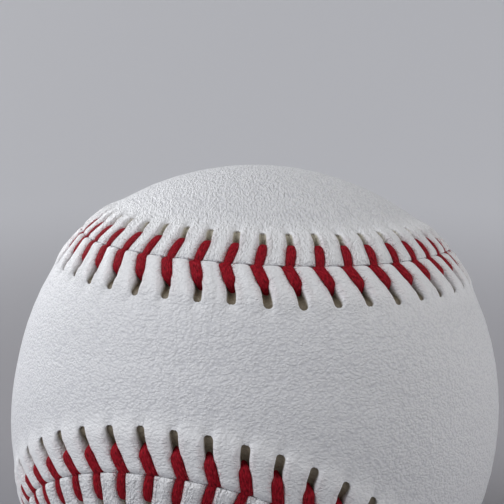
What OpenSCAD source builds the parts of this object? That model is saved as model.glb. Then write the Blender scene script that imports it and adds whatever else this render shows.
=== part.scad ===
// Baseball: a cork centred pill, wound wool and cotton layers, a two panel leather cover
// and the two waxed threads that close it with a herringbone seam.
// Millimetres, +Z up. The origin is the centre of the ball.

/* [Cover] */
// Radius over the leather, away from the raised seam
ball_r = 36.5; // [34:0.1:39]
// Thickness of the leather panels
leather_t = 1.2; // [0.9:0.1:1.6]
// How far the seam stands up above the rest of the cover
seam_rise = 0.9; // [0.6:0.1:1.4]
// How far to each side of the seam the leather is lifted
seam_rise_reach = 15; // [12:0.5:20]
// Gap between the edges of the two panels
seam_gap = 0.2; // [0.1:0.05:0.4]

/* [Seam line] */
// Half the width of a panel's narrow waist, seen from the centre of the ball in degrees
waist_angle = 21; // [19:0.5:25]
// How far the seam swings sideways around the wide lobes, in degrees
lobe_swing = 22.1; // [20:0.1:24]
// How much the swing is eased at the shoulders of the lobes, in degrees
shoulder_ease = 1.85; // [1.4:0.05:2.3]
// How much the lobe ends are flattened, as a share of the swing
end_flattening = 0.063; // [0.04:0.001:0.08]

/* [Stitching] */
// Stitches around the whole seam, each with one leg on each panel
stitch_count = 108; // [96:2:112]
// Width of the flattened thread
thread_w = 0.9; // [0.6:0.05:0.95]
// Thickness of the flattened thread
thread_t = 0.45; // [0.35:0.05:0.5]
// Length of the slot each thread comes up through
slot_l = 2.2; // [1.8:0.1:2.6]
// Distance from the seam to the far end of the slots in panel A
slot_reach_a = 5.4; // [5:0.1:5.8]
// Distance from the seam to the far end of the slots in panel B
slot_reach_b = 5; // [4.8:0.1:5.6]
// How far the slots of panel A trail their seam crossing, in stitches
slot_lag_a = 0.42; // [0.3:0.01:0.5]
// How far the slots of panel B trail their seam crossing, in stitches
slot_lag_b = 0.14; // [0.1:0.01:0.3]
// Distance between the two threads where they cross in the seam
crossing_spread = 1.1; // [1.1:0.05:1.3]
// Clearance around the thread in its slots and at the seam
thread_play = 0.1; // [0.05:0.01:0.15]

/* [Windings] */
// Thickness of the cement on the finished windings
cement_t = 0.1; // [0.08:0.01:0.2]
// Thickness of the fine cotton finishing winding
finish_t = 0.5; // [0.4:0.05:0.7]
// Thickness of the outer grey wool winding
outer_wool_t = 1.6; // [1.2:0.1:2]
// Thickness of the white wool winding
white_wool_t = 1.8; // [1.4:0.1:2.2]
// Clearance between one layer and the next
layer_play = 0.02; // [0.01:0.01:0.04]

/* [Pill] */
// Radius of the cork centre
cork_r = 10.3; // [9:0.1:11]
// Thickness of the black rubber half shells
black_t = 4; // [3.4:0.1:4.4]
// Thickness of the red rubber jacket
red_t = 2.35; // [2:0.05:2.8]
// Thickness of each red washer between the half shells
washer_t = 0.7; // [0.5:0.1:1]

/* [How the ball lies] */
// Lean about the X axis, in degrees
lie_lean = -0.7; // [-180:0.1:180]
// Tilt about the Y axis, in degrees
lie_tilt = 59; // [-180:0.1:180]
// Turn about the Z axis, in degrees
lie_turn = -106.9; // [-180:0.1:180]

/* [Hidden] */
$fn = 96;

leather_inner_r = ball_r - leather_t;
cement_r = leather_inner_r - layer_play;
finish_r = cement_r - cement_t - layer_play;
outer_wool_r = finish_r - finish_t - layer_play;
white_wool_r = outer_wool_r - outer_wool_t - layer_play;
inner_wool_r = white_wool_r - white_wool_t - layer_play;
black_r = cork_r + layer_play + black_t;
red_r = black_r + layer_play + red_t;

// steps along the seam for the table of its length, and the strips and columns of a panel
seam_steps = 720;
panel_rows = 52;
panel_columns = 16;
// flat facets cut inside the round, so a panel's corners are eased outwards by this
facet_ease = 0.12;
// how much closer rows stand on the flanks of a lobe, where the seam runs lengthwise
row_crowding = 0.6;
// angle left out at each lobe end, where the panel closes with a short straight edge
lobe_end = 3;
// reach of the seam's stations used to find how near a point is to the seam
near_step = 5;

// one seam crossing in every stitch starts from here, as a share of the seam's length
first_stitch = 0.5592;
// the thread's cross-section has this many sides, and it meets each leg at four places
thread_sides = 6;
rings_per_leg = 4;
// how far from the seam the thread turns down through it, and from a slot's end it turns up
seam_turn_in = 0.35;
slot_turn_in = 0.55;
// clearance between the flattened thread and the leather it lies on
lie_play = 0.05;
// how far past the leather a slot's cutter runs on each side
cut_past = 2;

function unit(v) = v / norm(v);
function seam_fall(t) = (cos(t) - end_flattening * cos(3 * t)) / (1 - end_flattening);
function seam_polar(t) = 90 - (90 - waist_angle) * seam_fall(t);
function seam_turn(t) = t / 2 + lobe_swing * sin(2 * t) - shoulder_ease * sin(4 * t);
function seam_at(t) = [
    sin(seam_polar(t)) * cos(seam_turn(t)),
    sin(seam_polar(t)) * sin(seam_turn(t)),
    cos(seam_polar(t))
];
function seam_along(t) = unit(seam_at(t + 0.5) - seam_at(t - 0.5));
function seam_side(t) = unit(cross(seam_at(t), seam_along(t)));

// running length of the seam on a ball of radius one, against the angle that draws it
seam_length_table = [
    for (i = 0, s = 0; i <= seam_steps; s = s + seam_step_length(i), i = i + 1)
        [s, i * 720 / seam_steps]
];
function seam_step_length(i) = norm(seam_at((i + 1) * 720 / seam_steps) - seam_at(i * 720 / seam_steps));
seam_length = seam_length_table[seam_steps][0];
pitch = seam_length / stitch_count;

// stations that stand for the whole seam when a distance to it is measured
seam_stations = [for (t = [0:near_step:719]) seam_at(t)];
function angle_to_seam(p) = acos(min(1, max([for (q = seam_stations) p * q])));
function rise(p) = seam_rise * exp(-pow(angle_to_seam(p) * PI / 180 * ball_r / seam_rise_reach, 2));

// a point beside the seam: k counts stitches, side is millimetres towards panel A
function wrap_length(s) = s - seam_length * floor(s / seam_length);
function stitch_t(k) = lookup(wrap_length(first_stitch * seam_length - k * pitch), seam_length_table);
function beside(k, side) = let (t = stitch_t(k), turn = side / ball_r * 180 / PI)
    seam_at(t) * cos(turn) + seam_side(t) * sin(turn);

// edge of a panel, half the seam gap inside the seam line
function panel_edge(t) = unit(seam_at(t) + seam_side(t) * seam_gap / 2 / ball_r);
// rows run across the panel in planes that hold the X axis
function row_point(t, column) = let (
        edge = panel_edge(t),
        across = asin(edge.x) * (2 * column / panel_columns - 1),
        down = unit([0, edge.y, edge.z])
    )
    [sin(across), down.y * cos(across), down.z * cos(across)];
function even_t(row) = 180 - lobe_end - (360 - 2 * lobe_end) * row / panel_rows;
function row_t(row) = even_t(row) + row_crowding / 2 * 180 / PI * sin(2 * even_t(row));

module panel_blank() {
    directions = [
        for (row = [0:panel_rows])
            for (column = [0:panel_columns])
                row_point(row_t(row), column)
    ];
    lifts = [for (d = directions) rise(d)];
    n = len(directions);
    across = panel_columns + 1;
    points = concat(
        [for (i = [0:n - 1]) directions[i] * (ball_r + facet_ease + lifts[i])],
        [for (i = [0:n - 1]) directions[i] * (leather_inner_r + facet_ease + lifts[i])]
    );
    faces = concat(
        [for (r = [0:panel_rows - 1]) for (c = [0:panel_columns - 1])
            let (a = r * across + c) each [[a, a + 1, a + across + 1], [a, a + across + 1, a + across]]],
        [for (r = [0:panel_rows - 1]) for (c = [0:panel_columns - 1])
            let (a = n + r * across + c) each [[a + 1, a, a + across + 1], [a + across + 1, a, a + across]]],
        [for (r = [0:panel_rows - 1]) for (a = [r * across])
            each [[a, a + across, a + n], [a + across, a + across + n, a + n]]],
        [for (r = [0:panel_rows - 1]) for (a = [r * across + panel_columns])
            each [[a + across, a, a + n], [a + across + n, a + across, a + n]]],
        [for (c = [0:panel_columns - 1]) for (a = [c])
            each [[a + 1, a, a + n], [a + 1 + n, a + 1, a + n]]],
        [for (c = [0:panel_columns - 1]) for (a = [panel_rows * across + c])
            each [[a, a + 1, a + n], [a + 1, a + 1 + n, a + n]]]
    );
    polyhedron(points = points, faces = faces, convexity = 10);
}

// places its child on the direction out, with +Z outwards and +X turned the way look points
module place_on(out, look) {
    away = unit(look - out * (look * out));
    up = cross(out, away);
    multmatrix([
        [away.x, up.x, out.x, 0],
        [away.y, up.y, out.y, 0],
        [away.z, up.z, out.z, 0]
    ])
        children();
}

// every slot of one panel, each lined up with its leg
module slots(toward) {
    slot_r = thread_w / 2 + thread_play;
    reach = leg_reach(toward);
    for (k = [0:stitch_count - 1])
        place_on(on_leg(k, toward, reach - slot_l / 2), on_leg(k, toward, reach) - on_leg(k, toward, 0))
            translate([0, 0, leather_inner_r - cut_past])
                slot_cutter(slot_l - 2 * slot_r, slot_r);
}

module slot_cutter(straight, r) {
    h = leather_t + seam_rise + 2 * cut_past;
    translate([-straight / 2, 0, 0])
        cylinder(h = h, r = r);
    translate([straight / 2, 0, 0])
        cylinder(h = h, r = r);
    translate([-straight / 2, -r, 0])
        cube([straight, 2 * r, h]);
}

module panel_a_shape() {
    difference() {
        panel_blank();
        slots(1);
        crossings();
    }
}

module panel_b_shape() {
    difference() {
        rotate(a = 180, v = [1, 1, 0])
            panel_blank();
        slots(-1);
        crossings();
    }
}

// round ended opening at each crossing, where the panel edges give way around both threads
module crossings() {
    notch_r = seam_turn_in + thread_t / 2;
    for (k = [0:stitch_count - 1])
        place_on(beside(k, 0), beside(k - 0.5, 0) - beside(k, 0))
            translate([0, 0, leather_inner_r - cut_past])
                slot_cutter(crossing_spread + thread_w - 2 * notch_r + 2 * thread_play, notch_r);
}

// one leg: up through its slot, over the leather, down at the seam and under the other panel
// toward is 1 for a leg on panel A and -1 for a leg on panel B
function leg_reach(toward) = toward > 0 ? slot_reach_a : slot_reach_b;
function leg_lag(toward) = toward > 0 ? slot_lag_a : slot_lag_b;
function crossing_lag(toward) = -toward * crossing_spread / 2 / (pitch * ball_r);
function on_leg(k, toward, side) = let (
        share = side / leg_reach(toward),
        lag = crossing_lag(toward) * (1 - share) + leg_lag(toward) * share
    )
    beside(k + lag, toward * side);
function on_under_run(k, toward, side) = let (
        share = side / leg_reach(-toward),
        lag = crossing_lag(toward) * (1 - share) + (leg_lag(-toward) - 1) * share
    )
    beside(k + lag, -toward * side);
function over(p) = p * (ball_r + facet_ease + rise(p) + thread_t / 2 + lie_play);
function under(p) = p * (leather_inner_r + rise(p) - thread_t / 2 - lie_play);
function leg_path(k, toward) = [
    under(on_leg(k, toward, leg_reach(toward) - slot_turn_in)),
    over(on_leg(k, toward, leg_reach(toward) - slot_l + slot_turn_in)),
    over(on_leg(k, toward, seam_turn_in)),
    under(on_under_run(k, toward, seam_turn_in))
];

// the thread doubles back at every slot, so its section is turned over to run on without a twist
function turns_back(ring) = floor((ring - 1) / rings_per_leg) % 2 == 1;

module stitch_thread(first_toward) {
    path = [for (j = [0:stitch_count - 1]) each leg_path(-j, j % 2 == 0 ? first_toward : -first_toward)];
    last = stitch_count * rings_per_leg - 1;
    points = [
        for (i = [0:last])
            let (
                before = i > 0 ? unit(path[i] - path[i - 1]) : unit(path[1] - path[0]),
                after = i < last ? unit(path[i + 1] - path[i]) : before,
                along = unit(before + after),
                wide = unit(cross(path[i], along)) * (turns_back(i) ? -1 : 1),
                thick = unit(cross(along, wide)) / (along * before)
            )
            for (side = [0:thread_sides - 1])
                path[i] + wide * thread_w / 2 * cos(360 * side / thread_sides)
                    + thick * thread_t / 2 * sin(360 * side / thread_sides) / sin(60)
    ];
    faces = concat(
        [[for (side = [0:thread_sides - 1]) side]],
        [[for (side = [0:thread_sides - 1]) last * thread_sides + thread_sides - 1 - side]],
        [for (i = [0:last - 1]) for (side = [0:thread_sides - 1])
            let (
                a = i * thread_sides + side,
                b = i * thread_sides + (side + 1) % thread_sides
            )
            each [[b, a, a + thread_sides], [b, a + thread_sides, b + thread_sides]]]
    );
    polyhedron(points = points, faces = faces, convexity = 10);
}

module lie() {
    rotate([lie_lean, lie_tilt, lie_turn])
        children();
}

module ball_layer(outer_r, inner_r) {
    difference() {
        sphere(r = outer_r);
        sphere(r = inner_r);
    }
}

module cork_core() {
    color([0.72, 0.52, 0.33])
        sphere(r = cork_r);
}

// half of the black rubber layer, standing off the joint plane by one washer
module black_half() {
    joint_z = washer_t + layer_play;
    difference() {
        ball_layer(black_r, cork_r + layer_play);
        translate([-red_r, -red_r, joint_z - 2 * red_r])
            cube(2 * red_r);
    }
}

module black_shell_upper() {
    color([0.12, 0.12, 0.12])
        black_half();
}

module black_shell_lower() {
    color([0.17, 0.17, 0.17])
        mirror([0, 0, 1])
            black_half();
}

// ring that seals the edge of one half shell, lying against the other washer
module washer() {
    joint_play = layer_play / 2;
    intersection() {
        ball_layer(black_r, cork_r + layer_play);
        translate([0, 0, joint_play])
            cylinder(h = washer_t - joint_play, r = red_r);
    }
}

module washer_upper() {
    color([0.75, 0.16, 0.12])
        washer();
}

module washer_lower() {
    color([0.65, 0.12, 0.1])
        mirror([0, 0, 1])
            washer();
}

module red_rubber_jacket() {
    color([0.8, 0.22, 0.16])
        ball_layer(red_r, black_r + layer_play);
}

module winding_inner() {
    color([0.5, 0.52, 0.55])
        ball_layer(inner_wool_r, red_r + layer_play);
}

module winding_middle() {
    color([0.9, 0.89, 0.85])
        ball_layer(white_wool_r, inner_wool_r + layer_play);
}

module winding_outer() {
    color([0.55, 0.57, 0.6])
        ball_layer(outer_wool_r, white_wool_r + layer_play);
}

module winding_finish() {
    color([0.95, 0.94, 0.9])
        ball_layer(finish_r, outer_wool_r + layer_play);
}

module cement_coat() {
    color([0.85, 0.8, 0.62])
        ball_layer(cement_r, finish_r + layer_play);
}

module cover_panel_a() {
    color([0.93, 0.93, 0.95])
        lie()
            panel_a_shape();
}

module cover_panel_b() {
    color([0.88, 0.88, 0.92])
        lie()
            panel_b_shape();
}

module stitch_thread_a() {
    color([0.6, 0.08, 0.1])
        lie()
            stitch_thread(1);
}

module stitch_thread_b() {
    color([0.72, 0.12, 0.14])
        lie()
            stitch_thread(-1);
}

cork_core();
black_shell_upper();
black_shell_lower();
washer_upper();
washer_lower();
red_rubber_jacket();
winding_inner();
winding_middle();
winding_outer();
winding_finish();
cement_coat();
cover_panel_a();
cover_panel_b();
stitch_thread_a();
stitch_thread_b();
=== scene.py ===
import math
import bpy
import bmesh
import numpy as np
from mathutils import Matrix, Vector
from mathutils.kdtree import KDTree


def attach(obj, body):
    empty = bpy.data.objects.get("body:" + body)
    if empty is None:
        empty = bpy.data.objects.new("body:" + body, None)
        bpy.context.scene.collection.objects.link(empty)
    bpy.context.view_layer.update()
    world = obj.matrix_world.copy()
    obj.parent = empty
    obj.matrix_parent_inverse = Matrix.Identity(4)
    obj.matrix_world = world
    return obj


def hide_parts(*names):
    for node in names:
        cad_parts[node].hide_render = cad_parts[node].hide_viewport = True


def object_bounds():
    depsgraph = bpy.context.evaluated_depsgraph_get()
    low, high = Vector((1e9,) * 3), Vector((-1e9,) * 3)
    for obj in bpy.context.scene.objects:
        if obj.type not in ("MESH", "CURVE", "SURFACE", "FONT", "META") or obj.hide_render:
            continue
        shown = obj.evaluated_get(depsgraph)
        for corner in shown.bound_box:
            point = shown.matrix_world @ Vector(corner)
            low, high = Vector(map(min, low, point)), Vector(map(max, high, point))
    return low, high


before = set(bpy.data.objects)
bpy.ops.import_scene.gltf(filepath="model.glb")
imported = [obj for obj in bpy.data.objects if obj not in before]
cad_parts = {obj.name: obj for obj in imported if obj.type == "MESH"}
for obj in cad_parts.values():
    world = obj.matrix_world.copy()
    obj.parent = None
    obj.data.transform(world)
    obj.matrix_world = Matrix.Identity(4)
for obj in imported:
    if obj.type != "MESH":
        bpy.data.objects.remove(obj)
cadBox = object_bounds()
mm = 0.001

# the camera
cameraView = {
    "place": (-0.0006, -0.1420, 0.0662),  # metres from the ball's centre
    "pitch": 73.49,                       # degrees up from looking straight down
    "lens": 71.43,
}
cameraData = bpy.data.cameras.new("camera")
cameraData.lens = cameraView["lens"]
cameraData.sensor_width = 36
cameraData.clip_start = 0.005
camera = bpy.data.objects.new("camera", cameraData)
camera.location = cameraView["place"]
camera.rotation_euler = (math.radians(cameraView["pitch"]), 0, 0)
bpy.context.scene.collection.objects.link(camera)
bpy.context.scene.camera = camera
print("camera set")

# the seam line, the same curve that the ball was built to
ball = {
    "radius": 36.5,        # mm over the leather, away from the seam
    "leather": 1.2,
    "rise": 0.9,           # how far the seam stands up
    "reach": 15.0,         # how far from the seam the rise dies out
    "waist": 21.0,         # degrees, as are swing and ease
    "swing": 22.1,
    "ease": 1.85,
    "flattening": 0.063,
    "stitches": 108,
    "firstStitch": 0.5592,
    "lie": (-0.7, 59.0, -106.9),    # degrees the ball leans, tilts and turns
}


def turnMatrix(lean, tilt, turn):
    a, b, c = (math.radians(v) for v in (lean, tilt, turn))
    rx = np.array([[1, 0, 0], [0, math.cos(a), -math.sin(a)], [0, math.sin(a), math.cos(a)]])
    ry = np.array([[math.cos(b), 0, math.sin(b)], [0, 1, 0], [-math.sin(b), 0, math.cos(b)]])
    rz = np.array([[math.cos(c), -math.sin(c), 0], [math.sin(c), math.cos(c), 0], [0, 0, 1]])
    return rz @ ry @ rx


def unitRows(v):
    return v / np.linalg.norm(v, axis=-1, keepdims=True)


def drawSeam(steps=28800):
    # the seam in even steps of its own length, on a ball of radius one
    t = np.linspace(0, 4 * np.pi, steps + 1)
    waist, swing, ease = (math.radians(ball[k]) for k in ("waist", "swing", "ease"))
    flat = ball["flattening"]
    polar = np.pi / 2 - (np.pi / 2 - waist) * (np.cos(t) - flat * np.cos(3 * t)) / (1 - flat)
    turn = t / 2 + swing * np.sin(2 * t) - ease * np.sin(4 * t)
    p = np.stack([np.sin(polar) * np.cos(turn), np.sin(polar) * np.sin(turn), np.cos(polar)], axis=1)
    p = p @ turnMatrix(*ball["lie"]).T
    run = np.concatenate([[0], np.cumsum(np.linalg.norm(np.diff(p, axis=0), axis=1))])
    even = np.linspace(0, run[-1], steps + 1)
    points = unitRows(np.stack([np.interp(even, run, p[:, i]) for i in range(3)], axis=1)[:-1])
    along = unitRows(np.roll(points, -3, axis=0) - np.roll(points, 3, axis=0))
    side = unitRows(np.cross(points, along))
    return points, side, run[-1], run[steps // 4], run[0]


seamPoint, seamSide, seamLength, lobeEndA, lobeEndB = drawSeam()
pitch = seamLength / ball["stitches"]      # radians of one stitch
pitchMm = pitch * ball["radius"]
print("seam", round(seamLength * ball["radius"], 1), "mm, stitch", round(pitchMm, 3), "mm")


def alongSeam(k):
    # index into the seam's even steps for stitch number k, which may be a fraction
    s = (ball["firstStitch"] * seamLength - np.asarray(k) * pitch) / seamLength
    return (s - np.floor(s)) * len(seamPoint)


def pick(table, index):
    low = np.floor(index).astype(int) % len(table)
    part = (index - np.floor(index))[..., None]
    return table[low] * (1 - part) + table[(low + 1) % len(table)] * part


def beside(k, v):
    # direction from the ball's centre to a place v mm beside the seam, at stitch k
    index = alongSeam(k)
    a = (np.asarray(v) / ball["radius"])[..., None]
    return unitRows(pick(seamPoint, index) * np.cos(a) + pick(seamSide, index) * np.sin(a))


treePoints = 720
seamTree = KDTree(treePoints)
for i in range(treePoints):
    seamTree.insert(Vector(seamPoint[i * len(seamPoint) // treePoints]), i)
seamTree.balance()


def seamDistance(directions):
    flat = directions.reshape(-1, 3)
    gap = np.array([seamTree.find(Vector(d))[2] for d in flat])
    return (2 * np.arcsin(np.clip(gap / 2, 0, 1)) * ball["radius"]).reshape(directions.shape[:-1])


def broadRise(v):
    return ball["rise"] * np.exp(-(np.asarray(v) / ball["reach"]) ** 2)


def smooth(a, b, x):
    t = np.clip((x - a) / (b - a), 0, 1)
    return t * t * (3 - 2 * t)


# where the legs and slots lie; side +1 is panel A, -1 is panel B
# near, pit and far are mm from the seam, atSeam, atNear and atFar are stitches past the crossing
stitches = {
    1: {"near": 3.9, "pit": 2.95, "far": 5.65, "atSeam": -0.02, "atNear": 0.36, "atFar": 0.421},
    -1: {"near": 3.1, "pit": 3.20, "far": 5.35, "atSeam": 0.09, "atNear": 0.185, "atFar": 0.1375},
}
# how far the hand strays from one stitch to the next
strays = {"lag": 0.012, "slot": 0.10, "lobe": 0.10}    # stitches, mm, share of the lobe
handWork = np.random.default_rng(11)
for side in (1, -1):
    stitches[side]["lagJitter"] = handWork.normal(0, strays["lag"], ball["stitches"])
    stitches[side]["slotJitter"] = handWork.normal(0, strays["slot"], ball["stitches"])
    stitches[side]["lobeJitter"] = handWork.normal(1, strays["lobe"], ball["stitches"])


def legLag(side, v):
    # how far the middle of a leg or slot lies past its crossing, in stitches
    s = stitches[side]
    bow = 0.25    # of its lean, which sets in early
    onLeg = np.clip(v / s["near"], 0, 1)
    inSlot = np.clip((v - s["near"]) / (s["far"] - s["near"]), 0, 1)
    leg = s["atSeam"] + (s["atNear"] - s["atSeam"]) * (onLeg + bow * onLeg * (1 - onLeg))
    slot = s["atNear"] + (s["atFar"] - s["atNear"]) * inSlot
    return np.where(v < s["near"], leg, slot)


puckers = {
    "lobe": 0.51,          # mm, crest between two legs
    "groove": 0.20,        # mm, how far a leg sinks
    "grooveHalf": {1: 0.64, -1: 0.54},  # mm, half width of the bed under a leg
    "bedNarrows": 0.3,     # share of the bed lost by the slot
    "lobeRound": (3.0, 0.65),  # powers that round its sides and its crest
    "edgeRoll": {1: (0.12, 0.20), -1: (0.04, 0.08)},  # mm deep, mm wide
    "fadeFrom": {1: -0.8, -1: -0.9},
    "slotHalf": 0.48,      # mm
    "slotDeep": 0.95,      # mm, where the thread goes down
    "slotShallow": 0.30,   # mm, at the far end
    "rim": {"high": 0.12, "from": 0.78, "half": 0.35},  # mm, leather heaped up along a slot
    "crease": {"from": 0.85, "half": 0.42},             # mm from the leg's middle
}


def leatherHeight(side, number, u, v, inSlot):
    # height over the plain round, in mm: u is stitches from the leg's middle, v is mm from the seam
    s = stitches[side]
    grown = s["lobeJitter"][number % ball["stitches"]]
    du = np.abs(u) * pitchMm
    narrowing = puckers["bedNarrows"] * smooth(s["pit"] - 0.8, s["pit"] + 0.3, v)
    bed = puckers["grooveHalf"][side] * (1 - narrowing)
    x = np.clip((du - bed) / (pitchMm / 2 - bed), 0, 1)
    sides, top = puckers["lobeRound"]
    crest = (1 - (1 - x) ** sides) ** top
    fade = smooth(puckers["fadeFrom"][side], 0.8, v) * (1 - smooth(s["far"] - 1.6, s["far"] + 2.0, v))
    h = puckers["lobe"] * grown * crest * fade
    h -= puckers["groove"] * (1 - crest) * (1 - smooth(s["near"] - 0.3, s["near"] + 1.4, v))
    deep, wide = puckers["edgeRoll"][side]
    h -= deep * np.exp(-(v / wide) ** 1.4)
    rim = puckers["rim"]
    heap = np.exp(-((du - rim["from"]) / rim["half"]) ** 2) * smooth(s["near"], s["near"] + 0.6, v)
    h += rim["high"] * heap * (1 - smooth(s["far"] - 0.3, s["far"] + 0.6, v))
    ramp = smooth(s["pit"] + 0.3, s["far"] - 0.3, v)
    depth = puckers["slotDeep"] + (puckers["slotShallow"] - puckers["slotDeep"]) * ramp
    return np.where(inSlot, h - depth, h)


leatherGrid = {
    "phases": [0.5, 0.43, 0.35, 0.27, 0.21, 0.178, 0.156, 0.140, 0.122, 0.088, 0.044],
    "across": 12,      # columns over the open middle of the panel
    "inside": 6,       # columns over the hidden inner face
    "bow": 10,         # mm, how far those columns bow out at the lobe ends
    "slotPhase": 0.13,             # rows nearer a leg than this run through its slot
    "pinched": (0.125, 0.34),      # rows drawn together round a slot's ends, in stitches
    "slotEnd": 0.90,               # share of the slot's width that its far end closes
    "pastEnd": 0.436,              # width of the rows just past that end
    "cutFrom": 0.004,              # mm from the seam to the cut edge
    "cutDepths": (0.55, 0.0),      # share of the leather's thickness
    "weld": 2e-7,                  # metres
    "sharpFrom": 52,               # degrees
}


def panelPhases():
    # places along the seam, in stitches from a point half way between two legs
    half = leatherGrid["phases"]
    one = [0.5 - p for p in half] + [0.5] + [0.5 + p for p in reversed(half[1:])]
    runs = [m + p for m in range(ball["stitches"] // 2) for p in one]
    return np.array(runs + [ball["stitches"] / 2])


def bandRows(side):
    s = stitches[side]
    pit, far = s["pit"], s["far"]
    rows = [0.03, 0.11, 0.26, 0.42, 0.62, 0.86, 1.15, 1.5, 1.9, 2.3]
    rows += [2.6] if side < 0 else [2.7]
    rows += [v for v in (3.05, 3.4) if v < pit - 0.2]
    rows += [pit - 0.12, pit + 0.02, pit + 0.3, pit + 0.6]
    v = pit + 0.9
    while v < far - 0.55:
        rows.append(v)
        v += 0.3
    rows += [far - 0.44, far - 0.31, far - 0.2, far - 0.11, far - 0.03, far + 0.04]
    rows += [far + 0.16, far + 0.4, far + 0.8, far + 1.3, far + 2.0]
    return np.array(rows)


def gridMesh(name, across, along):
    # a flat grid from the operator, ready for its corners to be moved into place
    bm = bmesh.new()
    bmesh.ops.create_grid(bm, x_segments=across, y_segments=along, size=1)
    mesh = bpy.data.meshes.new(name)
    bm.to_mesh(mesh)
    bm.free()
    flat = np.empty(len(mesh.vertices) * 3)
    mesh.vertices.foreach_get("co", flat)
    flat = flat.reshape(-1, 3)
    column = np.rint((flat[:, 0] + 1) / 2 * across).astype(int)
    row = np.rint((flat[:, 1] + 1) / 2 * along).astype(int)
    return mesh, column, row


def addAttribute(mesh, name, values):
    values = np.asarray(values, dtype=np.float32)
    mesh.attributes.new(name, "FLOAT", "POINT").data.foreach_set("value", values)


def closeMesh(mesh, distance):
    bm = bmesh.new()
    bm.from_mesh(mesh)
    bmesh.ops.remove_doubles(bm, verts=bm.verts, dist=distance)
    bmesh.ops.dissolve_degenerate(bm, dist=distance, edges=bm.edges)
    bmesh.ops.holes_fill(bm, edges=[e for e in bm.edges if e.is_boundary], sides=20)
    bmesh.ops.recalc_face_normals(bm, faces=bm.faces)
    for f in bm.faces:
        f.smooth = True
    bm.to_mesh(mesh)
    bm.free()


def bowedRows(a, b, inA, inB, count):
    # rows across the panel that set off square to both edges, without the edges themselves
    pull = np.linalg.norm(b - a, axis=-1, keepdims=True) + leatherGrid["bow"] / ball["radius"]
    rows = []
    for j in range(1, count):
        t = j / count
        mixed = (2 * t ** 3 - 3 * t ** 2 + 1) * a + (3 * t ** 2 - 2 * t ** 3) * b
        mixed = mixed + pull * (t * (1 - t) ** 2 * inA + t ** 2 * (1 - t) * inB)
        rows.append(unitRows(mixed))
    return np.stack(rows, axis=1)


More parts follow.
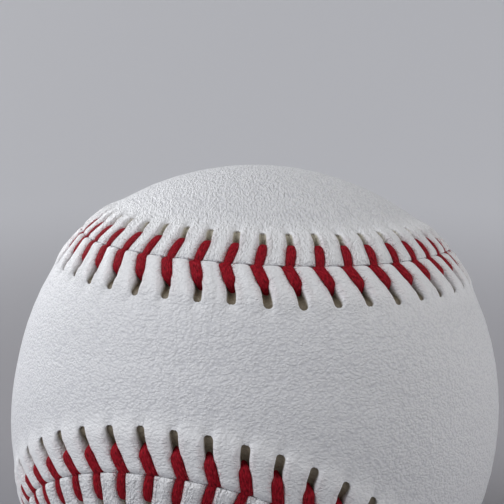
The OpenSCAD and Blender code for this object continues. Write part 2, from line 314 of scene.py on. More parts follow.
def leatherPanel(name, side):
    s = stitches[side]
    runs = panelPhases()
    rows = bandRows(side)
    lobeEnd = lobeEndA if side > 0 else lobeEndB
    start = (ball["firstStitch"] * seamLength - lobeEnd) / pitch
    start = round(start - 0.5) + 0.5
    along, bands = len(runs) - 1, len(rows)

    def band(direction):
        # directions, radii and marks of one side band, from the edge inwards
        k = start + direction * runs
        number = np.rint(k).astype(int) % ball["stitches"]
        u0 = (k - np.rint(k))[:, None]
        v = np.broadcast_to(rows[None, :], (len(runs), bands)).copy()
        far = s["far"] + s["slotJitter"][number][:, None] * (1 - np.abs(u0) * 2)
        stretched = s["pit"] + (v - s["pit"]) * (far - s["pit"]) / (s["far"] - s["pit"])
        v = np.where(v > s["pit"] + 0.1, stretched, v)
        # rows draw together round the far end of a slot
        r = puckers["slotHalf"]
        endFar = np.clip((v - (far - r)) / r, 0, 1)
        narrow = np.sqrt(1 - (endFar * leatherGrid["slotEnd"]) ** 2)
        tail = leatherGrid["pastEnd"]
        narrow = np.where(v > far, tail + (1 - tail) * smooth(far, far + 1.1, v), narrow)
        squeeze = 1 - (1 - narrow) * (1 - smooth(*leatherGrid["pinched"], np.abs(u0)))
        u = u0 * squeeze
        inSlot = (np.abs(u0) < leatherGrid["slotPhase"]) & (v > s["pit"] - 0.05) & (v < far)
        jitter = s["lagJitter"][number][:, None] * (1 - 2 * np.abs(u0)) * smooth(0, 2, v)
        place = np.rint(k)[:, None] + u + legLag(side, v) + jitter
        h = leatherHeight(side, number[:, None], u, v, inSlot)
        radius = ball["radius"] + broadRise(v) + h
        du = np.abs(u) * pitchMm
        fold = puckers["crease"]
        crease = np.exp(-((du - fold["from"]) / fold["half"]) ** 2)
        crease = crease * (1 - smooth(s["near"] - 0.4, s["far"] + 0.4, v))
        marks = np.stack([inSlot, v, crease, k[:, None] * pitchMm + 0 * v], axis=2)
        return beside(place, side * v), radius, marks

    leftD, leftR, leftMarks = band(-1)
    rightD, rightR, rightMarks = band(1)
    n = leatherGrid["across"]
    inLeft = unitRows(leftD[:, -1] - leftD[:, -3])
    inRight = unitRows(rightD[:, -1] - rightD[:, -3])
    middleD = bowedRows(leftD[:, -1], rightD[:, -1], inLeft, inRight, n)
    middleV = seamDistance(middleD)
    middleR = ball["radius"] + broadRise(middleV)
    # the cut edges run down to the inner face
    inner = ball["radius"] - ball["leather"]

    def cutEdge(direction):
        k = (start + direction * runs)[:, None]
        u0 = k - np.rint(k)
        depth = np.array(leatherGrid["cutDepths"])[None, :]
        v = leatherGrid["cutFrom"] + 0 * k + 0 * depth
        place = np.rint(k) + u0 + legLag(side, v)
        radius = inner + broadRise(v) + depth * ball["leather"] + 0 * k
        return beside(place, side * v), radius

    leftEdgeD, leftEdgeR = cutEdge(-1)
    rightEdgeD, rightEdgeR = cutEdge(1)
    m = leatherGrid["inside"]
    inLeft = unitRows(leftD[:, 6] - leftD[:, 0])
    inRight = unitRows(rightD[:, 6] - rightD[:, 0])
    underD = bowedRows(rightEdgeD[:, 1], leftEdgeD[:, 1], inRight, inLeft, m)
    underR = inner + broadRise(seamDistance(underD))
    # once round the panel: edge, outer face, edge, inner face
    directions = np.concatenate([
        leftEdgeD[:, ::-1], leftD, middleD, rightD[:, ::-1], rightEdgeD, underD, leftEdgeD[:, 1:]], axis=1)
    radii = np.concatenate([
        leftEdgeR[:, ::-1], leftR, middleR, rightR[:, ::-1], rightEdgeR, underR, leftEdgeR[:, 1:]], axis=1)
    hidden = 20    # mm from the seam, given to the faces that never show
    marks = np.zeros(radii.shape + (4,))
    marks[:, :, 1] = hidden
    marks[:, 2:2 + bands] = leftMarks
    marks[:, 2 + bands:1 + bands + n, 1] = middleV
    marks[:, 1 + bands + n:1 + 2 * bands + n] = rightMarks[:, ::-1]
    mesh, column, row = gridMesh(name, directions.shape[1] - 1, along)
    points = (directions * radii[..., None] * mm)[row, column]
    mesh.vertices.foreach_set("co", points.ravel())
    for i, mark in enumerate(("slotShare", "fromSeam", "creaseShare", "alongSeam")):
        addAttribute(mesh, mark, marks[row, column, i])
    closeMesh(mesh, leatherGrid["weld"])
    mesh.set_sharp_from_angle(angle=math.radians(leatherGrid["sharpFrom"]))
    panel = bpy.data.objects.new(name, mesh)
    bpy.context.scene.collection.objects.link(panel)
    print(name, len(mesh.polygons), "faces")
    return panel


# the thread's run over and under the leather, leg by leg
legShape = {
    # stitches past the crossing, mm from the seam, mm over the leather, width, thickness
    1: [
        (0.352, 3.42, -1.45, 0.74, 0.46),
        (0.342, 3.24, -1.12, 0.80, 0.48),
        (0.328, 3.04, -0.62, 1.02, 0.50),
        (0.304, 2.78, -0.20, 1.28, 0.54),
        (0.262, 2.40, 0.03, 1.42, 0.56),
        (0.212, 1.95, 0.08, 1.46, 0.56),
        (0.122, 1.15, 0.07, 1.48, 0.54),
        (0.035, 0.50, 0.03, 1.50, 0.52),
        (-0.025, 0.08, -0.10, 1.52, 0.48),
        (-0.055, -0.16, -0.55, 1.25, 0.44),
        (-0.09, -0.34, -1.05, 0.90, 0.44),
        (-0.13, -0.60, -1.45, 0.75, 0.46),
    ],
    -1: [
        (0.166, 3.90, -1.45, 0.76, 0.48),
        (0.174, 3.66, -1.12, 0.82, 0.50),
        (0.184, 3.40, -0.58, 0.96, 0.50),
        (0.186, 3.04, -0.16, 1.12, 0.54),
        (0.168, 2.26, 0.04, 1.24, 0.56),
        (0.145, 1.60, 0.08, 1.26, 0.56),
        (0.120, 1.00, 0.06, 1.22, 0.54),
        (0.098, 0.45, 0.00, 1.12, 0.52),
        (0.085, 0.08, -0.14, 1.04, 0.48),
        (0.078, -0.16, -0.55, 0.90, 0.44),
        (0.060, -0.34, -1.05, 0.80, 0.44),
        (0.030, -0.60, -1.45, 0.75, 0.46),
    ],
}
threadMake = {
    "stepsBetweenKeys": 4,
    "sides": 13,
    "underRun": (-1.5, 0.85, 0.46),    # mm over the leather, width and thickness between two slots
    "easedOver": 3,                    # rings each way that share the turn of the flat side
    "squareness": 0.8,                 # below 1 the section fills its corners
    "strandMm": 10,                    # length of thread for one unit of the strand map
    "weld": 1e-7,                      # metres
}


def catmull(points, steps):
    # smooth run through the points, with the same number of steps between each pair
    p = np.vstack([2 * points[0] - points[1], points, 2 * points[-1] - points[-2]])
    t = (np.arange(steps) / steps)[None, :, None]
    a, b, c, d = (p[i:len(p) - 3 + i, None, :] for i in range(4))
    square = 2 * a - 5 * b + 4 * c - d
    cube = 3 * b - a - 3 * c + d
    run = 0.5 * (2 * b + (c - a) * t + square * t ** 2 + cube * t ** 3)
    return np.vstack([run.reshape(-1, points.shape[1]), points[-1:]])


def stitchThread(name, firstSide):
    stops = []
    for j in range(ball["stitches"]):
        side = firstSide if j % 2 == 0 else -firstSide
        number = (-j) % ball["stitches"]
        s = stitches[side]
        for lag, v, h, width, thick in legShape[side]:
            jitter = s["lagJitter"][number] * min(max(v / 2, 0), 1)
            stops.append((-j + lag + jitter, side * v, h, width, thick))
        # half way between this leg's last key and the next leg's first
        last = legShape[side][-1]
        first = legShape[-side][0]
        halfWay = (-j + last[0] * 0.5 + (first[0] - 1) * 0.5, -side * (first[1] - last[1]) * 0.5)
        stops.append(halfWay + threadMake["underRun"])
    run = catmull(np.array(stops[:-1]), threadMake["stepsBetweenKeys"])
    k, v, h, width, thick = run.T
    out = beside(k, v)
    lift = ball["radius"] + broadRise(np.abs(v)) + h
    centre = out * lift[:, None]
    flow = np.gradient(centre, axis=0)
    level = flow - out * (flow * out).sum(axis=1, keepdims=True)
    # the thread doubles back in each slot, so its flat side is carried over smoothly
    wide = np.cross(out, level)
    for i in range(1, len(wide)):
        if wide[i] @ wide[i - 1] < 0:
            wide[i] = -wide[i]
    spare = threadMake["easedOver"]
    weight = np.ones(2 * spare + 1)
    padded = np.vstack([wide[:1]] * spare + [unitRows(wide)] + [wide[-1:]] * spare)
    wide = np.stack([np.convolve(padded[:, i], weight, "valid") for i in range(3)], axis=1)
    tangent = unitRows(flow)
    wide = unitRows(wide - tangent * (wide * tangent).sum(axis=1, keepdims=True))
    deep = np.cross(tangent, wide)
    sides = threadMake["sides"]
    angle = np.arange(sides + 1) / sides * 2 * np.pi
    reach = np.sign(np.cos(angle)) * np.abs(np.cos(angle)) ** threadMake["squareness"]
    rise = np.sign(np.sin(angle)) * np.abs(np.sin(angle)) ** threadMake["squareness"]
    points = centre[:, None] + wide[:, None] * (reach[None, :, None] * width[:, None, None] / 2) \
        + deep[:, None] * (rise[None, :, None] * thick[:, None, None] / 2)
    mesh, column, row = gridMesh(name, sides, len(run) - 1)
    mesh.vertices.foreach_set("co", (points * mm)[row, column].ravel())
    length = np.concatenate([[0], np.cumsum(np.linalg.norm(np.diff(centre, axis=0), axis=1))])
    uv = mesh.uv_layers.new(name="strand")
    corner = np.empty(len(mesh.loops), dtype=np.int32)
    mesh.loops.foreach_get("vertex_index", corner)
    spread = np.stack([column[corner] / sides, length[row[corner]] / threadMake["strandMm"]], axis=1)
    uv.data.foreach_set("uv", spread.ravel())
    closeMesh(mesh, threadMake["weld"])
    thread = bpy.data.objects.new(name, mesh)
    bpy.context.scene.collection.objects.link(thread)
    print(name, len(mesh.polygons), "faces,", round(float(length[-1])), "mm long")
    return thread


looseFibres = {
    "perLeg": 22,
    "length": (0.35, 1.10),   # mm
    "width": 0.035,
    "steps": 4,
    "lowest": -0.3,           # mm over the leather, none start deeper than this
    "offMiddle": (0.55, 1.0), # share of the leg's half width
    "lift": (0.0, 0.35),      # mm
    "arch": 2.2,              # radians of a sine that each one bends through
    "sweep": 0.25,            # how much further it strays by its tip
    "taper": 0.7,             # share of the width lost by the tip
    "weld": 1e-7,             # metres
}


def threadFuzz(name):
    # short stray fibres that lift off the edges of the legs
    hand = np.random.default_rng(5)
    starts, ways, lifts, sizes = [], [], [], []
    for side in (1, -1):
        keys = np.array([key for key in legShape[side] if key[2] > looseFibres["lowest"]])
        for number in range(ball["stitches"]):
            for _ in range(looseFibres["perLeg"]):
                at = hand.uniform(0, len(keys) - 1.001)
                low = int(at)
                lag, v, h, width, thick = keys[low] + (keys[low + 1] - keys[low]) * (at - low)
                edge = hand.choice((-1, 1)) * hand.uniform(*looseFibres["offMiddle"])
                start = number + lag + edge * width / 2 / pitchMm
                starts.append((start, side * v, h + thick * (0.45 - 0.3 * edge ** 2)))
                ways.append((edge * hand.uniform(0.2, 1.0), hand.uniform(-1, 1)))
                lifts.append(hand.uniform(*looseFibres["lift"]))
                sizes.append(hand.uniform(*looseFibres["length"]))
    starts, ways, lifts, sizes = (np.array(x) for x in (starts, ways, lifts, sizes))
    steps = looseFibres["steps"]
    t = np.linspace(0, 1, steps)[None, :]
    reach = ways / np.linalg.norm(ways, axis=1, keepdims=True) * sizes[:, None]
    k = starts[:, :1] + reach[:, :1] / pitchMm * t
    v = starts[:, 1:2] + reach[:, 1:] * (t + looseFibres["sweep"] * t * t)
    h = starts[:, 2:] + lifts[:, None] * np.sin(t * looseFibres["arch"])
    out = beside(k, v)
    centre = out * (ball["radius"] + broadRise(np.abs(v)) + h)[..., None]
    flow = unitRows(np.gradient(centre, axis=1))
    wide = unitRows(np.cross(out, flow))
    deep = np.cross(flow, wide)
    corners = 3
    angle = np.arange(corners + 1) / corners * 2 * np.pi
    thin = looseFibres["width"] / 2 * (1 - looseFibres["taper"] * t)
    points = centre[:, :, None] + thin[..., None, None] * (
        wide[:, :, None] * np.cos(angle)[:, None] + deep[:, :, None] * np.sin(angle)[:, None])
    # every fibre is a strip of the one grid, and the joining rows are taken out
    count = len(starts)
    mesh, column, row = gridMesh(name, corners, count * steps - 1)
    mesh.vertices.foreach_set("co", (points.reshape(-1, corners + 1, 3) * mm)[row, column].ravel())
    bm = bmesh.new()
    bm.from_mesh(mesh)
    fibreOf = (row // steps).tolist()
    joins = [f for f in bm.faces if len({fibreOf[vert.index] for vert in f.verts}) > 1]
    bmesh.ops.delete(bm, geom=joins, context="FACES_ONLY")
    bmesh.ops.remove_doubles(bm, verts=bm.verts, dist=looseFibres["weld"])
    bmesh.ops.holes_fill(bm, edges=[e for e in bm.edges if e.is_boundary], sides=corners)
    bmesh.ops.recalc_face_normals(bm, faces=bm.faces)
    for f in bm.faces:
        f.smooth = True
    bm.to_mesh(mesh)
    bm.free()
    fuzz = bpy.data.objects.new(name, mesh)
    bpy.context.scene.collection.objects.link(fuzz)
    print(name, len(mesh.polygons), "faces")
    return fuzz


def newMaterial(name):
    material = bpy.data.materials.new(name)
    material.use_nodes = True
    tree = material.node_tree
    shader = tree.nodes["Principled BSDF"]
    return material, tree, shader


def addNode(tree, kind, **settings):
    node = tree.nodes.new(kind)
    for key, value in settings.items():
        if key in node.inputs:
            node.inputs[key].default_value = value
        else:
            setattr(node, key, value)
    return node


# each panel comes from another part of the hide; the last colour is the cut edge inside the slots, and panel
# A's darker one is painted shade deep in its slots
hides = {
    "whiteLeatherA": {
        "scale": (2300, 2600, 3500), "turn": (0, 0.4, 0.1), "depth": 0.00014, "cutEdgeAndShade": (0.24, 0.20, 0.14, 1)},
    "whiteLeatherB": {
        "scale": (3500, 1500, 2600), "turn": (0.1, 0, 0.06), "depth": 0.00026, "cutEdgeAndShade": (0.56, 0.52, 0.42, 1)},
}


def leatherMaterial(name):
    hide = hides[name]
    look = {
        "white": (0.82, 0.825, 0.85, 1),
        "pore": (0.72, 0.725, 0.76, 1),
        "paintedSeamLight": (0.89, 0.895, 0.915, 1),    # painted light: lighter leather near the seam, for light on the raised seam band
        "blush": (0.80, 0.60, 0.62, 1),      # where the thread has rubbed off on the leather
    }
    material, tree, shader = newMaterial(name)
    link = tree.links.new
    place = addNode(tree, "ShaderNodeTexCoord")
    # pebbles 0.3 to 0.7 mm across, longer one way than the other
    stretch = addNode(tree, "ShaderNodeMapping")
    stretch.inputs["Scale"].default_value = hide["scale"]
    stretch.inputs["Rotation"].default_value = hide["turn"]
    link(place.outputs["Object"], stretch.inputs["Vector"])
    warp = addNode(tree, "ShaderNodeTexNoise", Scale=0.35, Detail=2.0)
    link(stretch.outputs["Vector"], warp.inputs["Vector"])
    bend = addNode(tree, "ShaderNodeMixRGB", blend_type="LINEAR_LIGHT")
    bend.inputs["Fac"].default_value = 1.2
    link(stretch.outputs["Vector"], bend.inputs["Color1"])
    link(warp.outputs["Color"], bend.inputs["Color2"])
    pebble = addNode(tree, "ShaderNodeTexVoronoi", feature="SMOOTH_F1", Scale=1.0, Smoothness=0.35)
    link(bend.outputs["Color"], pebble.inputs["Vector"])
    broad = addNode(tree, "ShaderNodeTexNoise", Scale=900.0, Detail=3.0)
    link(place.outputs["Object"], broad.inputs["Vector"])
    grain = addNode(tree, "ShaderNodeMath", operation="MULTIPLY_ADD")
    grain.inputs[1].default_value = -0.7
    link(pebble.outputs["Distance"], grain.inputs[0])
    link(broad.outputs["Fac"], grain.inputs[2])
    # short creases beside the legs, where the thread gathers the leather
    crease = addNode(tree, "ShaderNodeAttribute", attribute_name="creaseShare")
    along = addNode(tree, "ShaderNodeAttribute", attribute_name="alongSeam")
    across = addNode(tree, "ShaderNodeAttribute", attribute_name="fromSeam")
    seamPlace = addNode(tree, "ShaderNodeCombineXYZ")
    link(along.outputs["Fac"], seamPlace.inputs["X"])
    link(across.outputs["Fac"], seamPlace.inputs["Y"])
    hatchScale = addNode(tree, "ShaderNodeMapping")
    hatchScale.inputs["Scale"].default_value = (0.9, 4.4, 1)
    link(seamPlace.outputs["Vector"], hatchScale.inputs["Vector"])
    hatch = addNode(tree, "ShaderNodeTexNoise", Scale=1.0, Detail=2.0)
    link(hatchScale.outputs["Vector"], hatch.inputs["Vector"])
    gathered = addNode(tree, "ShaderNodeMath", operation="MULTIPLY")
    link(hatch.outputs["Fac"], gathered.inputs[0])
    link(crease.outputs["Fac"], gathered.inputs[1])
    height = addNode(tree, "ShaderNodeMath", operation="MULTIPLY_ADD")
    height.inputs[1].default_value = 1.6
    link(gathered.outputs["Value"], height.inputs[0])
    link(grain.outputs["Value"], height.inputs[2])
    bump = addNode(tree, "ShaderNodeBump", Strength=1.0, Distance=hide["depth"])
    link(height.outputs["Value"], bump.inputs["Height"])
    link(bump.outputs["Normal"], shader.inputs["Normal"])
    pore = addNode(tree, "ShaderNodeMapRange", interpolation_type="SMOOTHSTEP")
    pore.inputs["From Min"].default_value = 0.35
    pore.inputs["From Max"].default_value = 0.75
    link(pebble.outputs["Distance"], pore.inputs["Value"])
    colour = addNode(tree, "ShaderNodeMixRGB")
    colour.inputs["Color1"].default_value = look["white"]
    colour.inputs["Color2"].default_value = look["pore"]
    link(pore.outputs["Result"], colour.inputs["Fac"])
    # painted light: within 9 mm of the seam the leather is mixed up to 0.8 towards a lighter colour, for
    # light on the raised seam band
    seamLightShare = addNode(tree, "ShaderNodeMapRange", interpolation_type="SMOOTHSTEP")
    seamLightShare.inputs["From Min"].default_value = 9.0
    seamLightShare.inputs["From Max"].default_value = 4.5
    seamLightShare.inputs["To Max"].default_value = 0.8
    link(across.outputs["Fac"], seamLightShare.inputs["Value"])
    paintedSeamLight = addNode(tree, "ShaderNodeMixRGB")
    paintedSeamLight.inputs["Color2"].default_value = look["paintedSeamLight"]
    link(seamLightShare.outputs["Result"], paintedSeamLight.inputs["Fac"])
    link(colour.outputs["Color"], paintedSeamLight.inputs["Color1"])
    rubbed = addNode(tree, "ShaderNodeMath", operation="MULTIPLY")
    rubbed.inputs[1].default_value = 0.35
    link(gathered.outputs["Value"], rubbed.inputs[0])
    blush = addNode(tree, "ShaderNodeMixRGB")
    blush.inputs["Color2"].default_value = look["blush"]
    link(rubbed.outputs["Value"], blush.inputs["Fac"])
    link(paintedSeamLight.outputs["Color"], blush.inputs["Color1"])
    # the cut edge's colour fills the slots; for panel A it carries painted shade
    slot = addNode(tree, "ShaderNodeAttribute", attribute_name="slotShare")
    cut = addNode(tree, "ShaderNodeMixRGB")
    cut.inputs["Color2"].default_value = hide["cutEdgeAndShade"]
    link(slot.outputs["Fac"], cut.inputs["Fac"])
    link(blush.outputs["Color"], cut.inputs["Color1"])
    link(cut.outputs["Color"], shader.inputs["Base Color"])
    shader.inputs["Roughness"].default_value = 0.46
    shader.inputs["Specular IOR Level"].default_value = 0.4
    return material


def threadMaterial():
    material, tree, shader = newMaterial("redThread")
    link = tree.links.new
    strand = addNode(tree, "ShaderNodeUVMap", uv_map="strand")
    lay = addNode(tree, "ShaderNodeMapping")
    lay.inputs["Scale"].default_value = (22, 12, 1)
    lay.inputs["Rotation"].default_value = (0, 0, 0.25)
    link(strand.outputs["UV"], lay.inputs["Vector"])
    fibre = addNode(tree, "ShaderNodeTexNoise", Scale=1.6, Detail=5.0)
    link(lay.outputs["Vector"], fibre.inputs["Vector"])
    # colour follows the same noise as the bump: the thread's own mottled red, and the lightest stop is a
    # painted highlight along the raised fibres
    colour = addNode(tree, "ShaderNodeValToRGB")
    colour.color_ramp.elements[0].position = 0.32
    colour.color_ramp.elements[0].color = (0.09, 0.002, 0.005, 1)
    colour.color_ramp.elements[1].position = 0.78
    colour.color_ramp.elements[1].color = (0.52, 0.035, 0.05, 1)
    colour.color_ramp.elements.new(0.55).color = (0.33, 0.006, 0.017, 1)
    link(fibre.outputs["Fac"], colour.inputs["Fac"])
    link(colour.outputs["Color"], shader.inputs["Base Color"])
    bump = addNode(tree, "ShaderNodeBump", Strength=0.8, Distance=0.0001)
    link(fibre.outputs["Fac"], bump.inputs["Height"])
    link(bump.outputs["Normal"], shader.inputs["Normal"])
    shader.inputs["Roughness"].default_value = 0.75
    shader.inputs["Specular IOR Level"].default_value = 0.12
    return material


def corkMaterial():
    look = {
        "dark": (0.20, 0.11, 0.05, 1),
        "light": (0.52, 0.34, 0.19, 1),
        "binder": (0.03, 0.02, 0.015, 1),
    }
    material, tree, shader = newMaterial("boundCork")
    link = tree.links.new
    place = addNode(tree, "ShaderNodeTexCoord")
    granule = addNode(tree, "ShaderNodeTexVoronoi", Scale=850.0)
    edge = addNode(tree, "ShaderNodeTexVoronoi", feature="DISTANCE_TO_EDGE", Scale=850.0)
    link(place.outputs["Object"], granule.inputs["Vector"])
    link(place.outputs["Object"], edge.inputs["Vector"])
    tone = addNode(tree, "ShaderNodeMixRGB")
    tone.inputs["Color1"].default_value = look["dark"]
    tone.inputs["Color2"].default_value = look["light"]
    link(granule.outputs["Color"], tone.inputs["Fac"])
    gap = addNode(tree, "ShaderNodeMapRange")
    gap.inputs["From Max"].default_value = 0.08
    link(edge.outputs["Distance"], gap.inputs["Value"])
    bound = addNode(tree, "ShaderNodeMixRGB")
    bound.inputs["Color1"].default_value = look["binder"]
    link(gap.outputs["Result"], bound.inputs["Fac"])
    link(tone.outputs["Color"], bound.inputs["Color2"])
    link(bound.outputs["Color"], shader.inputs["Base Color"])
    bump = addNode(tree, "ShaderNodeBump", Strength=0.7, Distance=0.0002)
    link(gap.outputs["Result"], bump.inputs["Height"])
    link(bump.outputs["Normal"], shader.inputs["Normal"])
    shader.inputs["Roughness"].default_value = 0.9
    return material


def rubberMaterial(name, dark, light):
    material, tree, shader = newMaterial(name)
    link = tree.links.new
    place = addNode(tree, "ShaderNodeTexCoord")
    bloom = addNode(tree, "ShaderNodeTexNoise", Scale=160.0, Detail=5.0)
    link(place.outputs["Object"], bloom.inputs["Vector"])
    tone = addNode(tree, "ShaderNodeMixRGB")
    tone.inputs["Color1"].default_value = dark
    tone.inputs["Color2"].default_value = light
    link(bloom.outputs["Fac"], tone.inputs["Fac"])
    link(tone.outputs["Color"], shader.inputs["Base Color"])
    fine = addNode(tree, "ShaderNodeTexNoise", Scale=2600.0, Detail=3.0)
    link(place.outputs["Object"], fine.inputs["Vector"])
    bump = addNode(tree, "ShaderNodeBump", Strength=0.4, Distance=0.00005)
    link(fine.outputs["Fac"], bump.inputs["Height"])
    link(bump.outputs["Normal"], shader.inputs["Normal"])
    matt = addNode(tree, "ShaderNodeMapRange")
    matt.inputs["To Min"].default_value = 0.5
    matt.inputs["To Max"].default_value = 0.75
    link(bloom.outputs["Fac"], matt.inputs["Value"])
    link(matt.outputs["Result"], shader.inputs["Roughness"])
    return material


def yarnMaterial(name, dark, light, strand, roughness=0.85):
    # wound yarn: patches of side by side strands, each patch laid another way; strand is in metres
    material, tree, shader = newMaterial(name)
    link = tree.links.new
    place = addNode(tree, "ShaderNodeTexCoord")
    patch = addNode(tree, "ShaderNodeTexVoronoi", Scale=95.0)
    link(place.outputs["Object"], patch.inputs["Vector"])
    turn = addNode(tree, "ShaderNodeMath", operation="MULTIPLY")
    turn.inputs[1].default_value = 6.28    # radians, once round
    link(patch.outputs["Color"], turn.inputs[0])
    laid = addNode(tree, "ShaderNodeVectorRotate", rotation_type="AXIS_ANGLE", Axis=(0.5, 0.6, 0.62))
    link(place.outputs["Object"], laid.inputs["Vector"])
    link(turn.outputs["Value"], laid.inputs["Angle"])
    strands = addNode(tree, "ShaderNodeTexWave", Scale=0.314 / strand, Distortion=1.2, Detail=3.0)
    strands.inputs["Detail Scale"].default_value = 1.5
    link(laid.outputs["Vector"], strands.inputs["Vector"])
    hairs = addNode(tree, "ShaderNodeTexNoise", Scale=2400.0, Detail=4.0)
    link(laid.outputs["Vector"], hairs.inputs["Vector"])
    mixed = addNode(tree, "ShaderNodeMath", operation="MULTIPLY_ADD")
    mixed.inputs[1].default_value = 0.35
    link(hairs.outputs["Fac"], mixed.inputs[0])
    link(strands.outputs["Fac"], mixed.inputs[2])
    tone = addNode(tree, "ShaderNodeMixRGB")
    tone.inputs["Color1"].default_value = dark
    tone.inputs["Color2"].default_value = light
    link(mixed.outputs["Value"], tone.inputs["Fac"])
    link(tone.outputs["Color"], shader.inputs["Base Color"])
    bump = addNode(tree, "ShaderNodeBump", Strength=0.9, Distance=strand * 0.3)
    link(mixed.outputs["Value"], bump.inputs["Height"])
    link(bump.outputs["Normal"], shader.inputs["Normal"])
    shader.inputs["Roughness"].default_value = roughness
    shader.inputs["Sheen Weight"].default_value = 0.3
    return material


def fibreMaterial():
    material, tree, shader = newMaterial("looseRedFibre")
    link = tree.links.new
    place = addNode(tree, "ShaderNodeTexCoord")
    patch = addNode(tree, "ShaderNodeTexNoise", Scale=1500.0, Detail=2.0)
    link(place.outputs["Object"], patch.inputs["Vector"])
    tone = addNode(tree, "ShaderNodeMixRGB")
    tone.inputs["Color1"].default_value = (0.28, 0.012, 0.02, 1)
    tone.inputs["Color2"].default_value = (0.66, 0.12, 0.14, 1)
    link(patch.outputs["Fac"], tone.inputs["Fac"])
    link(tone.outputs["Color"], shader.inputs["Base Color"])
    shader.inputs["Roughness"].default_value = 0.8
    return material


insideLooks = {
    "cork_core": corkMaterial(),
    "black_shell_upper": rubberMaterial("blackRubber", (0.012, 0.012, 0.013, 1), (0.035, 0.034, 0.034, 1)),
    "washer_upper": rubberMaterial("redRubber", (0.30, 0.028, 0.016, 1), (0.46, 0.055, 0.03, 1)),
    "winding_inner": yarnMaterial("greyWool", (0.13, 0.135, 0.15, 1), (0.36, 0.37, 0.39, 1), 0.0013),
    "winding_middle": yarnMaterial("whiteWool", (0.50, 0.47, 0.40, 1), (0.82, 0.80, 0.73, 1), 0.0011),
    "winding_finish": yarnMaterial("fineCotton", (0.60, 0.57, 0.50, 1), (0.86, 0.84, 0.79, 1), 0.0005, 0.75),
    "cement_coat": yarnMaterial("driedCement", (0.42, 0.34, 0.19, 1), (0.66, 0.58, 0.40, 1), 0.0005, 0.3),
}
insideLooks["black_shell_lower"] = insideLooks["black_shell_upper"]
insideLooks["washer_lower"] = insideLooks["red_rubber_jacket"] = insideLooks["washer_upper"]
insideLooks["winding_outer"] = insideLooks["winding_inner"]
for node, material in insideLooks.items():
    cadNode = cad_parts[node]
    if not cadNode.material_slots:
        cadNode.data.materials.append(material)
    for slot in cadNode.material_slots:
        slot.material = material
print("inside materials set")

leatherA = leatherMaterial("whiteLeatherA")
leatherB = leatherMaterial("whiteLeatherB")
redThread = threadMaterial()

panelA = leatherPanel("leatherPanelA", 1)
panelB = leatherPanel("leatherPanelB", -1)
threadA = stitchThread("stitchThreadA", 1)
threadB = stitchThread("stitchThreadB", -1)
for piece, node, slot, material in (
    (panelA, "cover_panel_a", "white_leather", leatherA),
    (panelB, "cover_panel_b", "white_leather", leatherB),
    (threadA, "stitch_thread_a", "red_thread", redThread),
    (threadB, "stitch_thread_b", "red_thread", redThread),
):
    piece.data.materials.append(material)
    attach(piece, "root")
    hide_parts(node)
fuzz = threadFuzz("looseFibres")
fuzz.data.materials.append(fibreMaterial())
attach(fuzz, "root")
print("ball made")

# painted shadow: the floor is given a darker colour close round the ball, fading to the pale colour between
# dimFrom and dimTo
floorLook = {
    "size": 12.0,       # metres from its middle to its edge
    "pale": (0.555, 0.56, 0.595, 1),
    "paintedShadow": (0.355, 0.35, 0.375, 1),
    "dimFrom": 0.10,    # metres from the middle
    "dimTo": 0.30,
}
bm = bmesh.new()
bmesh.ops.create_grid(bm, x_segments=1, y_segments=1, size=floorLook["size"])
bmesh.ops.translate(bm, verts=bm.verts, vec=(0, 0, cadBox[0][2]))
floorMesh = bpy.data.meshes.new("floor")
bm.to_mesh(floorMesh)
bm.free()
floor = bpy.data.objects.new("floor", floorMesh)
bpy.context.scene.collection.objects.link(floor)
floorMaterial, floorTree, floorShader = newMaterial("paleFloor")
floorPlace = addNode(floorTree, "ShaderNodeTexCoord")
floorReach = addNode(floorTree, "ShaderNodeVectorMath", operation="LENGTH")
floorTree.links.new(floorPlace.outputs["Object"], floorReach.inputs[0])
# the painted shadow fades out with distance from the ball's middle
paintedShadowFade = addNode(floorTree, "ShaderNodeMapRange", interpolation_type="SMOOTHSTEP")
paintedShadowFade.inputs["From Min"].default_value = floorLook["dimFrom"]
paintedShadowFade.inputs["From Max"].default_value = floorLook["dimTo"]
floorTree.links.new(floorReach.outputs["Value"], paintedShadowFade.inputs["Value"])
floorTone = addNode(floorTree, "ShaderNodeMixRGB")
floorTone.inputs["Color1"].default_value = floorLook["paintedShadow"]
floorTone.inputs["Color2"].default_value = floorLook["pale"]
floorTree.links.new(paintedShadowFade.outputs["Result"], floorTone.inputs["Fac"])
floorTree.links.new(floorTone.outputs["Color"], floorShader.inputs["Base Color"])
floorShader.inputs["Roughness"].default_value = 0.8
floorShader.inputs["Specular IOR Level"].default_value = 0.2
floor.data.materials.append(floorMaterial)


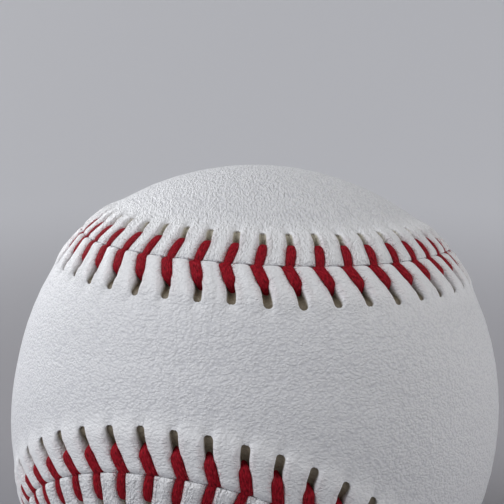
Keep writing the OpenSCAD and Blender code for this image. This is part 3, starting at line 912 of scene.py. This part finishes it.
# azimuth is from straight behind the ball towards the viewer's right, and height above the floor, in degrees
softBoxes = {
    "key": {"azimuth": -99, "height": 41, "strength": 2.0, "colour": (0.97, 0.98, 1.0)},
    "fill": {"azimuth": 105, "height": 45, "strength": 0.93, "colour": (1.0, 0.985, 0.965)},
    "backLeft": {"azimuth": -40, "height": 14, "strength": 1.15, "colour": (0.98, 0.99, 1.0)},
    "rim": {"azimuth": 76, "height": 4, "strength": 0.7, "colour": (1.0, 0.985, 0.965)},
}
softness = 40    # degrees that each one spreads over


def softLight(name):
    box = softBoxes[name]
    data = bpy.data.lights.new(name, "SUN")
    data.angle = math.radians(softness)
    data.energy = box["strength"]
    data.color = box["colour"]
    lamp = bpy.data.objects.new(name, data)
    a, h = math.radians(box["azimuth"]), math.radians(box["height"])
    toward = Vector((math.cos(h) * math.sin(a), math.cos(h) * math.cos(a), math.sin(h)))
    lamp.rotation_euler = toward.to_track_quat("Z", "Y").to_euler()
    bpy.context.scene.collection.objects.link(lamp)


for lampName in softBoxes:
    softLight(lampName)
studio = {
    "colour": (0.93, 0.95, 1.0, 1),
    "walls": 0.46,      # low round the studio
    "overhead": 0.035,
    "fade": (0.10, 0.26),    # upward share of the view, from walls to overhead
}
world = bpy.data.worlds.new("world")
world.use_nodes = True
worldTree = world.node_tree
lookWay = addNode(worldTree, "ShaderNodeTexCoord")
wayParts = addNode(worldTree, "ShaderNodeSeparateXYZ")
wallFade = addNode(worldTree, "ShaderNodeMapRange", interpolation_type="SMOOTHSTEP")
wallFade.inputs["From Min"].default_value = studio["fade"][0]
wallFade.inputs["From Max"].default_value = studio["fade"][1]
wallFade.inputs["To Min"].default_value = studio["walls"]
wallFade.inputs["To Max"].default_value = studio["overhead"]
worldTree.links.new(lookWay.outputs["Generated"], wayParts.inputs["Vector"])
worldTree.links.new(wayParts.outputs["Z"], wallFade.inputs["Value"])
worldTree.links.new(wallFade.outputs["Result"], worldTree.nodes["Background"].inputs["Strength"])
worldTree.nodes["Background"].inputs["Color"].default_value = studio["colour"]
bpy.context.scene.world = world
bpy.context.scene.view_settings.view_transform = "Standard"
print("floor and lights set")
